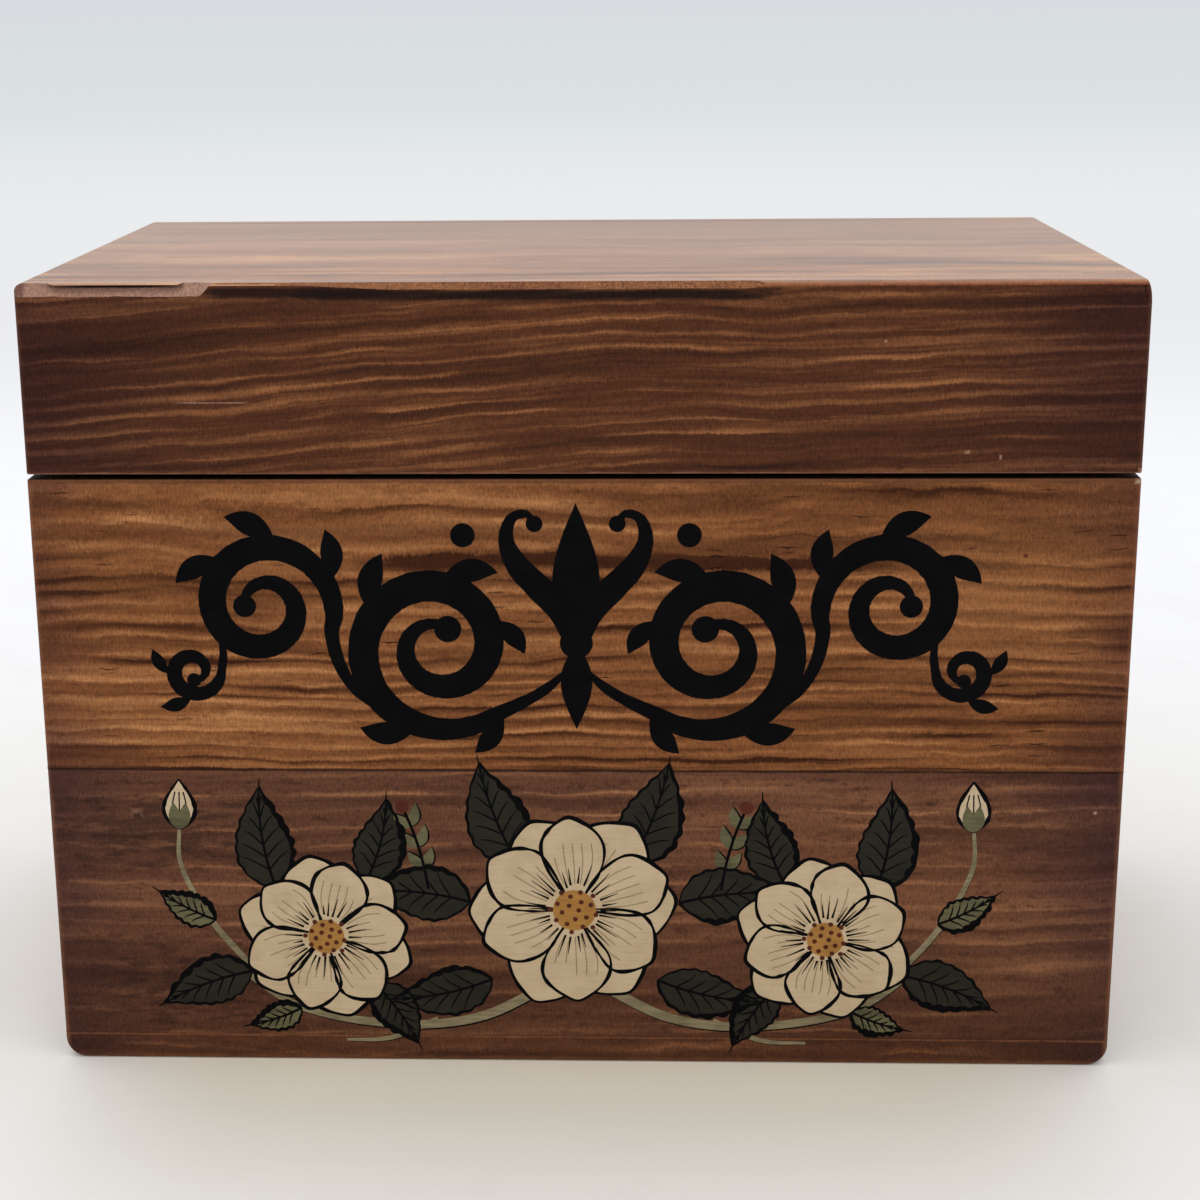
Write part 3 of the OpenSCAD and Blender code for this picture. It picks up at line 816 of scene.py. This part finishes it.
def cut_away(piece, cutter):
    """Cuts the cutter out of the piece. The cut faces keep the cutter's material."""
    apply_modifier(piece, "BOOLEAN", operation="DIFFERENCE", object=cutter, solver="EXACT",
                   material_mode="TRANSFER")
    bpy.data.objects.remove(cutter)


# Painted films

SPECK = 1e-5


def smooth_path(points, steps=10):
    """A smooth path through points of (x, z, width)."""
    points = [Vector(point) for point in points]
    ends = [points[0] * 2 - points[1]] + points + [points[-1] * 2 - points[-2]]
    path = []
    for before, here, after, later in zip(ends, ends[1:], ends[2:], ends[3:]):
        for index in range(steps):
            t = index / steps
            path.append(0.5 * (2 * here + (after - before) * t
                               + (2 * before - 5 * here + 4 * after - later) * t * t
                               + (3 * here - before - 3 * after + later) * t ** 3))
    path.append(points[-1])
    return path


def area(polygon):
    return sum(a[0] * b[1] - b[0] * a[1] for a, b in zip(polygon, polygon[1:] + polygon[:1])) / 2


def stroke(points, steps=10, rough=0.0):
    """A brush stroke along points of (x, z, width), as a row of small polygons."""
    path = smooth_path(points, steps)
    rows = []
    for index, here in enumerate(path):
        before, after = path[max(index - 1, 0)], path[min(index + 1, len(path) - 1)]
        ahead = Vector((after.x - before.x, after.y - before.y))
        half = max(here.z + rough * noise.noise((here.x * 1.7, here.y * 1.7, 2)), 0.02) / 2
        side = Vector((-ahead.y, ahead.x)).normalized() * half
        rows.append(((here.x + side.x, here.y + side.y), (here.x - side.x, here.y - side.y)))
    polygons = []
    for (left, right), (next_left, next_right) in zip(rows, rows[1:]):
        polygons += [[left, right, next_right], [left, next_right, next_left]]
    return polygons


def polar(x, z, angle, reach):
    """The point at a reach and an angle from (x, z)."""
    return x + reach * math.cos(angle), z + reach * math.sin(angle)


def spiral(x, z, start, turn, wide, narrow, first, fullest, last, steps=44):
    """Points of a stroke that winds inwards round (x, z) and swells on the way. Angles are in degrees."""
    points = []
    for index in range(steps + 1):
        t = index / steps
        angle = math.radians(start + turn * t)
        radius = narrow + (wide - narrow) * (1 - t) ** 1.2
        width = first + (last - first) * t + (fullest - (first + last) / 2) * math.sin(math.pi * t ** 0.7)
        points.append(polar(x, z, angle, radius) + (width,))
    return points


def disc(x, z, radius, sides=24):
    return [polar(x, z, 2 * math.pi * k / sides, radius) for k in range(sides)]


def mirrored(polygons):
    return [[(-x, z) for x, z in polygon][::-1] for polygon in polygons]


def moved(polygons, x_by, z_by):
    return [[(x + x_by, z + z_by) for x, z in polygon] for polygon in polygons]


def film(name, polygons, height, material):
    """A film of paint on the front: the union of the polygons, raised by its height in millimetres."""
    coords, faces = [], []
    for polygon in polygons:
        if abs(area(polygon)) < SPECK:
            continue
        polygon = polygon if area(polygon) > 0 else polygon[::-1]
        faces.append(list(range(len(coords), len(coords) + len(polygon))))
        coords += [Vector(point) for point in polygon]
    verts, _, triangles, _, _, sources = delaunay_2d_cdt(coords, [], faces, 0, SPECK)
    kept = [triangle for triangle, source in zip(triangles, sources) if source]
    mesh = bpy.data.meshes.new(name)
    places = [(v.x * MM, (FACE_Y - height) * MM, v.y * MM) for v in verts]
    mesh.from_pydata(places, [], [tuple(triangle) for triangle in kept])
    piece = link(name, mesh)
    enter_edit(piece)
    bpy.ops.mesh.delete_loose()
    bpy.ops.mesh.select_all(action="SELECT")
    bpy.ops.mesh.normals_make_consistent(inside=False)
    leave_edit()
    if mesh.polygons[0].normal.y > 0:
        mesh.flip_normals()
    apply_modifier(piece, "SOLIDIFY", thickness=(height + 0.01) * MM, offset=-1.0)
    mesh.materials.append(material)
    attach(piece, "base")
    return piece


def blade(x, z, angle, length, width, bend=0.0, fullness=0.7, points=14):
    """A leaf blade from its foot at (x, z): its two outlines and its rib, foot to tip."""
    left, right, rib = [], [], []
    for index in range(points + 1):
        t = index / points
        heading = angle + bend * t
        centre = Vector(polar(x, z, angle + bend * t / 2, length * t))
        half = width / 2 * math.sin(math.pi * t ** fullness)
        side = Vector((-math.sin(heading), math.cos(heading))) * half
        left.append(centre + side)
        right.append(centre - side)
        rib.append(centre)
    return left, right, rib


def blade_fill(left, right):
    return [tuple(p) for p in right] + [tuple(p) for p in reversed(left[1:-1])]


def leaf_on(path, share, turn, length, width, bend):
    """A leaf that grows on a thin foot from a stroke's path, turned away from the way it runs."""
    index = round(share * (len(path) - 2))
    here, ahead = path[index], path[index + 1]
    heading = math.atan2(ahead.y - here.y, ahead.x - here.x) + turn
    foot = polar(here.x, here.y, heading, 0.3 * here.z)
    left, right, _ = blade(*foot, heading, length, width, bend, 1.15, 18)
    return blade_fill(left, right)


def build_scrollwork():
    """The black ornament: leafy vine scrolls each side of a lily, mirrored left and right."""
    inner = ([(1.2, 11.2, 0.7), (4.4, 8.4, 1.4), (7.8, 6.4, 1.8)]
             + spiral(19.4, 14.6, -130, 610, 12.8, 3.0, 2.2, 4.3, 1.1))
    outer = ([(26.0, 4.4, 0.9), (30.8, 8.0, 1.4), (33.3, 12.4, 1.8)]
             + spiral(43.6, 20.4, 202, -560, 10.2, 2.6, 2.0, 3.7, 1.0))
    tail = ([(49.8, 16.8, 0.6), (49.5, 13.6, 1.1)]
            + spiral(53.8, 11.0, 184, 446, 3.9, 1.3, 1.3, 2.1, 0.7, 30))
    lily_side = [(0.8, 15.8, 2.2), (2.2, 19.6, 3.3), (5.0, 23.0, 3.7), (8.0, 26.2, 3.2),
                 (9.6, 29.8, 2.3), (8.9, 32.9, 1.5), (6.8, 33.6, 1.1), (5.7, 32.2, 0.9)]
    half = [disc(15.6, 30.6, 1.7)]
    for points in (inner, outer, tail, lily_side):
        half += stroke(points, 3, 0.2)
    for points, radius in ((inner, 1.9), (outer, 1.6), (tail, 1.0), (lily_side, 1.15)):
        half.append(disc(points[-1][0], points[-1][1], radius))
    inner, outer, tail = smooth_path(inner, 3), smooth_path(outer, 3), smooth_path(tail, 3)
    sprigs = ((inner, 0.055, -0.8, 7.0, 2.9, 0.6), (inner, 0.14, -0.7, 8.0, 3.3, 0.8),
              (inner, 0.30, -0.7, 8.5, 3.4, 0.8), (inner, 0.40, -0.7, 8.0, 3.3, 0.9),
              (inner, 0.49, -0.8, 6.5, 2.8, 0.9),
              (outer, 0.13, 0.7, 7.5, 3.1, -0.7), (outer, 0.22, 0.7, 8.0, 3.3, -0.8),
              (outer, 0.31, 0.7, 7.5, 3.1, -0.9),
              (tail, 0.24, -0.8, 4.8, 2.0, 0.7), (tail, 0.40, -0.8, 4.4, 1.8, 0.7))
    half += [leaf_on(*sprig) for sprig in sprigs]
    whole = half + mirrored(half)
    for z, angle, length, width, fullness in ((14.6, QUARTER, 20.5, 6.6, 0.85),
                                              (14.6, -QUARTER, 12.0, 4.4, 0.8)):
        left, right, _ = blade(0, z, angle, length, width, 0.0, fullness, 20)
        whole.append(blade_fill(left, right))
    whole.append(disc(0, 15.2, 2.3))
    return film("scroll_ornament", moved(whole, -0.5, 48.6), 0.05, BLACK_PAINT)


def outline_strokes(edge, width, rough, seed):
    """An inked outline along a row of points, thicker and thinner as a pen draws it."""
    dice = random.Random(seed)
    points = []
    for index, place in enumerate(edge):
        share = index / (len(edge) - 1)
        swell = 0.55 + 0.45 * math.sin(math.pi * share)
        points.append((place[0], place[1], width * swell * dice.uniform(1 - rough, 1 + rough)))
    return stroke(points, 4)


class Painting:
    """Shapes of one painted motif, by paint, each raised above what it lies on."""

    def __init__(self):
        self.layers = {}

    def add(self, layer, shapes):
        self.layers.setdefault(layer, []).extend(shapes)


def paint_leaf(painting, x, z, angle, length, width, bend, layer, ink, seed):
    left, right, rib = blade(x, z, angle, length, width, bend, 0.72, 16)
    dice = random.Random(seed)
    for side in (left, right):
        for index in range(2, len(side) - 2):
            tooth = 0.16 if index % 2 else -0.08
            away = (side[index] - rib[index]).normalized() * tooth * dice.uniform(0.6, 1.4)
            side[index] = side[index] + away
    painting.add(layer, [blade_fill(left, right)])
    painting.add(ink, outline_strokes(left, 0.42, 0.3, seed + 1))
    painting.add(ink, outline_strokes(right, 0.85, 0.4, seed + 2))
    tip = rib[-1] + (rib[-1] - rib[-2]).normalized() * 1.4
    painting.add(ink, stroke([(p[0], p[1], 0.42 - 0.02 * k) for k, p in enumerate(rib[::2])]
                             + [(tip.x, tip.y, 0.08)], 3))
    for index in range(3, len(rib) - 3, 2):
        for side in (left, right):
            end = side[min(index + 3, len(side) - 2)]
            start = rib[index]
            bow = (start + end) / 2 + (rib[index] - rib[index - 1]) * 0.25
            reach = start + (end - start) * dice.uniform(0.72, 0.95)
            painting.add(ink, stroke([(start.x, start.y, 0.26), (bow.x, bow.y, 0.22),
                                      (reach.x, reach.y, 0.08)], 4))


def petal(x, z, angle, length, width, dice):
    """A petal from its foot at (x, z): its two outlines and its middle line, foot to tip."""
    left, right, middle = [], [], []
    lean = dice.uniform(-0.14, 0.14)
    for index in range(15):
        t = index / 14
        heading = angle + lean * t
        half = width / 2 * max(math.sin(math.pi * t ** 1.55), 0.0) ** 0.74
        centre = Vector(polar(x, z, heading, length * t))
        side = Vector((-math.sin(heading), math.cos(heading))) * half
        left.append(centre + side * (1 + 0.12 * noise.noise((t * 3, angle * 5, 1))))
        right.append(centre - side * (1 + 0.12 * noise.noise((t * 3, angle * 5, 8))))
        middle.append(centre)
    return left, right, middle


def paint_whorl(painting, x, z, radius, petals, turn, fullness, tier, seed):
    """One ring of petals, with faint lines along them and an inked edge."""
    dice = random.Random(seed)
    for index in range(petals):
        angle = turn + 2 * math.pi * index / petals + dice.uniform(-0.05, 0.05)
        length = radius * dice.uniform(0.94, 1.0)
        width = radius * fullness / petals * dice.uniform(0.94, 1.04)
        left, right, middle = petal(x, z, angle, length, width, dice)
        painting.add("cream_" + tier, [[tuple(p) for p in left + right[-2:0:-1]]])
        painting.add("ink_" + tier, outline_strokes(left + right[-2::-1], 0.5, 0.35, seed + index))
        for spread in (-0.62, -0.3, 0.0, 0.3, 0.62):
            last = dice.choice((10, 11, 12))
            line = [(middle[k] + (left[k] - middle[k]) * spread).to_tuple() + (0.16,)
                    for k in range(4, last, 2)]
            painting.add("line_" + tier, stroke(line, 4))


def paint_blossom(painting, x, z, radius, turn, seed):
    """A blossom of two whorls of petals round a dotted eye."""
    petals = 6
    paint_whorl(painting, x, z, radius, petals, turn + math.pi / petals, 4.3, "back", seed)
    paint_whorl(painting, x, z, radius * 0.93, petals, turn, 3.9, "front", seed + 40)
    dice = random.Random(seed)
    dashes = 30
    for index in range(dashes):
        angle = 2 * math.pi * index / dashes + dice.uniform(-0.05, 0.05)
        begin, end = radius * dice.uniform(0.23, 0.27), radius * dice.uniform(0.36, 0.5)
        painting.add("ink_front", stroke([polar(x, z, angle, begin) + (0.34,),
                                          polar(x, z, angle, end) + (0.08,)], 4))
    painting.add("eye", [disc(x, z, radius * 0.2)])
    golden_turn = math.pi * (3 - math.sqrt(5))
    dots = 19
    for index in range(dots):
        reach = radius * 0.24 * math.sqrt((index + 0.5) / dots)
        painting.add("dots", [disc(*polar(x, z, index * golden_turn, reach), 0.36, 12)])


def paint_twig(painting, points):
    painting.add("twig", stroke(points))
    under = [(x + 0.15, z - 0.42 * w, 0.5 * w) for x, z, w in points]
    painting.add("twig_ink", stroke(under))


def paint_bud(painting, x, z, angle, size, seed):
    """A closed bud with a leafy cup at its foot."""
    left, right, rib = blade(x, z, angle, size, size * 0.6, 0, 0.75, 12)
    painting.add("cream_back", [blade_fill(left, right)])
    painting.add("ink_back", outline_strokes(left, 0.5, 0.3, seed) + outline_strokes(right, 0.6, 0.3, seed))
    for share in (-0.45, 0.0, 0.45):
        line = [(p.x + (q.x - p.x) * share, p.y + (q.y - p.y) * share, 0.2)
                for p, q in zip(rib[3:-1:3], left[3:-1:3])]
        painting.add("ink_back", stroke(line, 4))
    for turn in (-0.42, 0.42):
        left, right, _ = blade(x, z, angle + turn, size * 0.55, size * 0.26, -turn, 0.8, 10)
        painting.add("cup", [blade_fill(left, right)])


def paint_sprig(painting, x, z, angle, length, bend, seed):
    """A thin sprig with small paired leaves and a berry at its tip."""
    _, _, rib = blade(x, z, angle, length, 1, bend, 0.7, 12)
    painting.add("leaf_ink", stroke([(p.x, p.y, 0.42) for p in rib[::3]], 4))
    dice = random.Random(seed)
    for index in (3, 6, 9):
        for side in (-1, 1):
            heading = angle + bend * index / 12 + side * 0.75
            left, right, _ = blade(rib[index].x, rib[index].y, heading, dice.uniform(3.0, 3.8), 1.7,
                                   -side * 0.4, 0.8, 8)
            painting.add("pale", [blade_fill(left, right)])
            painting.add("leaf_ink", outline_strokes(right, 0.24, 0.2, seed + index))
    painting.add("dots", [disc(rib[-1].x, rib[-1].y, 0.95, 16)])


GARLAND_LAYERS = (
    ("twig_ink", BLACK_PAINT, "black_paint"), ("twig", TWIG_PAINT, "twig_paint"),
    ("leaf", LEAF_PAINT, "leaf_paint"), ("pale", PALE_LEAF_PAINT, "twig_paint"),
    ("leaf_ink", BLACK_PAINT, "black_paint"), ("cream_back", CREAM_PAINT, "cream_paint"),
    ("line_back", PETAL_LINE_PAINT, "cream_paint"), ("ink_back", BLACK_PAINT, "black_paint"),
    ("cup", PALE_LEAF_PAINT, "twig_paint"), ("cream_front", CREAM_PAINT, "cream_paint"),
    ("line_front", PETAL_LINE_PAINT, "cream_paint"), ("ink_front", BLACK_PAINT, "black_paint"),
    ("eye", OCHRE_PAINT, "twig_paint"), ("dots", DOT_PAINT, "black_paint"))
FIRST_LAYER = 0.012
LAYER_STEP = 0.0035


def build_garland():
    """A generic mirrored garland of double blossoms with leaves, twigs, buds and berried sprigs."""
    painting = Painting()
    seed = 10
    for side in (-1, 1):
        def angle(value, side=side):
            return value if side > 0 else math.pi - value
        twigs = ([(4, 12, 1.5), (14, 7.0, 1.4), (26, 5.8, 1.3), (40, 8.4, 1.1), (50, 15.4, 0.8)],
                 [(44, 11.4, 0.9), (52, 21, 0.9), (56.5, 30, 0.7), (56.6, 36.4, 0.5)],
                 [(20, 6.6, 0.9), (27, 3.6, 0.7), (33.5, 3.2, 0.4)])
        for points in twigs:
            paint_twig(painting, [(side * x, z, w) for x, z, w in points])
        leaves = ((8, 31, 1.05, 16, 8.5, 0.35), (15, 25, 0.28, 15, 8, -0.35),
                  (12, 13, -0.42, 15, 7, 0.4), (43, 27, 1.25, 15.5, 8.0, 0.4),
                  (47, 14, -0.2, 14, 7, -0.35), (30, 28, 2.05, 13, 7, -0.45),
                  (29, 12, -2.3, 11, 6, 0.3))
        for x, z, heading, length, width, bend in leaves:
            seed += 3
            paint_leaf(painting, side * x, z, angle(heading), length, width, side * bend, "leaf",
                       "leaf_ink", seed)
        seed += 3
        paint_leaf(painting, side * 52, 22, angle(0.35), 9, 4.5, side * 0.3, "pale", "leaf_ink", seed)
        paint_leaf(painting, side * 40, 8.2, angle(-0.5), 8, 4.0, side * 0.3, "pale", "leaf_ink", seed)
        paint_sprig(painting, side * 21, 27, angle(1.45), 13, side * -0.3, seed)
        paint_bud(painting, side * 56.5, 36, angle(1.6), 7.5, seed)
        paint_blossom(painting, side * 36, 19.5, 13.2, 0.25, seed + 5)
    paint_blossom(painting, 0, 23.8, 15.6, QUARTER, 99)
    for index, (layer, material, slot) in enumerate(GARLAND_LAYERS):
        film("garland_" + layer, moved(painting.layers[layer], -1.0, 0.0),
             FIRST_LAYER + LAYER_STEP * index, material)


# Metalwork

def dress_metal():
    for name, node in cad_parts.items():
        if "hinge" in name:
            finish = SCREW_BRASS if name.endswith("screws") else HINGE_BRASS
        elif name == "bottom_brads":
            finish = BRAD_STEEL
        else:
            continue
        node.data.materials.clear()
        node.data.materials.append(finish)


# Stage

CAMERA_PLACE = (0.0076, -0.3424, 0.1498)
CAMERA_YAW = math.radians(2.251)
CAMERA_PITCH = math.radians(14.985)
CAMERA_ROLL = -0.0093
LENS = 66.87
SENSOR = 36.0
PHOTO_PX = 1200
AXIS_LEFT_PX = 50
FLOOR_REACH = 40.0
BACKDROP = stain(216, 220, 224)
FAR_HALFWAY = 350.0
FLOOR_SCUFF = stain(226, 222, 216)
# Floor colours by the gap to the box: a painted warm bounce of light at its foot, paling outwards
FLOOR_BOUNCE_IN_FRONT = ((0.0, stain(242, 231, 211)), (0.1, stain(232, 226, 213)), (0.3, stain(238, 235, 230)),
                  (1.0, stain(241, 241, 244)))
FLOOR_BOUNCE_BESIDE = ((0.0, stain(244, 241, 236)), (0.3, stain(240, 239, 237)), (1.0, stain(241, 241, 244)))
# Painted light on the far floor: brightest round the box, falling off to the backdrop's grey far away
FLOOR_LIGHT_BY_CLOSENESS = ((0.0, BACKDROP), (0.05, stain(218, 223, 226)), (0.1, stain(220, 226, 228)),
                      (0.145, stain(228, 232, 233)), (0.195, stain(234, 236, 238)),
                      (0.3, stain(234, 235, 238)), (0.4, stain(242, 243, 247)),
                      (0.51, stain(248, 249, 253)))


def build_camera():
    data = bpy.data.cameras.new("camera")
    data.lens = LENS
    data.sensor_width = SENSOR
    data.clip_start = 0.01
    data.shift_x = AXIS_LEFT_PX / PHOTO_PX
    camera = link("camera", data)
    camera.matrix_world = (Matrix.Translation(CAMERA_PLACE)
                           @ Matrix.Rotation(CAMERA_YAW, 4, "Z")
                           @ Matrix.Rotation(QUARTER - CAMERA_PITCH, 4, "X")
                           @ Matrix.Rotation(CAMERA_ROLL, 4, "Z"))
    bpy.context.scene.camera = camera


def build_floor():
    """A wide pale floor with painted light: a painted warm bounce from the box at its foot, painted bright
    light round it, and grey as the backdrop far off.
    """
    deselect()
    bpy.ops.mesh.primitive_plane_add(size=2 * FLOOR_REACH)
    floor = bpy.context.object
    floor.name = "floor"
    material, tree, surface, place = new_material("pale_floor")
    x, y = [axis.maths("ABSOLUTE") for axis in split(place)[:2]]
    gap = (x - HALF_W).maths("MAXIMUM", y - HALF_D).maths("MULTIPLY", 1 / 150, clamp=True)
    near = blend(tree, rise(x, 45.0, 85.0), add_ramp(gap, FLOOR_BOUNCE_IN_FRONT), add_ramp(gap, FLOOR_BOUNCE_BESIDE))
    distance = add_node(tree, "ShaderNodeVectorMath", {0: place}, operation="LENGTH")[1]
    closeness = add_node(tree, "ShaderNodeMath", {0: FAR_HALFWAY, 1: distance + FAR_HALFWAY},
                         operation="DIVIDE")[0]
    far = add_ramp(closeness, FLOOR_LIGHT_BY_CLOSENESS)
    away = rise(distance, 250.0, 700.0)
    scuffs = stretched_noise(place, (0.035, 0.035, 0.035), 5.0, (4, 4, 0), 0.62)
    near = blend(tree, rise(scuffs, 0.45, 0.8, 0.0, 0.25), near, FLOOR_SCUFF)
    wire(surface, {"Base Color": blend(tree, away, near, far), "Roughness": 0.9,
                   "Specular IOR Level": 0.1})
    glow = add_node(tree, "ShaderNodeEmission", {"Color": far, "Strength": 1.0})[0]
    seen = Signal(tree.nodes.new("ShaderNodeLightPath").outputs["Is Camera Ray"])
    mixed = add_node(tree, "ShaderNodeMixShader",
                     {0: seen * away, 1: Signal(surface.outputs[0]), 2: glow})[0]
    output = next(node for node in tree.nodes if node.type == "OUTPUT_MATERIAL")
    wire(output, {"Surface": mixed})
    floor.data.materials.append(material)


def build_light():
    """An even pale world, which shows as the backdrop, and a weak softbox above."""
    world = bpy.data.worlds.new("studio")
    bpy.context.scene.world = world
    world.use_nodes = True
    tree = world.node_tree
    light = tree.nodes["Background"]
    wire(light, {"Color": (0.98, 0.99, 1.0, 1.0), "Strength": 0.95})
    backdrop = add_node(tree, "ShaderNodeBackground", {"Color": BACKDROP, "Strength": 1.0})[0]
    rays = tree.nodes.new("ShaderNodeLightPath").outputs
    camera_ray, glossy_ray, clear_ray = [
        Signal(rays["Is " + kind + " Ray"]) for kind in ("Camera", "Glossy", "Transmission")]
    seen = camera_ray.maths("MAXIMUM", glossy_ray.maths("MAXIMUM", clear_ray))
    mixed = add_node(tree, "ShaderNodeMixShader", {0: seen, 1: Signal(light.outputs[0]), 2: backdrop})[0]
    wire(tree.nodes["World Output"], {"Surface": mixed})
    lamp = bpy.data.lights.new("softbox", "AREA")
    lamp.shape = "RECTANGLE"
    lamp.size = 1.4
    lamp.size_y = 1.0
    lamp.energy = 4.0
    holder = link("softbox", lamp)
    holder.matrix_world = Matrix.Translation((-0.2, 0.1, 1.3)) @ Matrix.Rotation(0.08, 4, "X")
    bpy.context.scene.view_settings.view_transform = "Standard"


build_camera()
build_floor()
build_light()
boards = build_boards()
cut_away(boards["lid_front"], build_splitter())
smooth(boards["lid_front"])
dress_metal()
build_scrollwork()
build_garland()
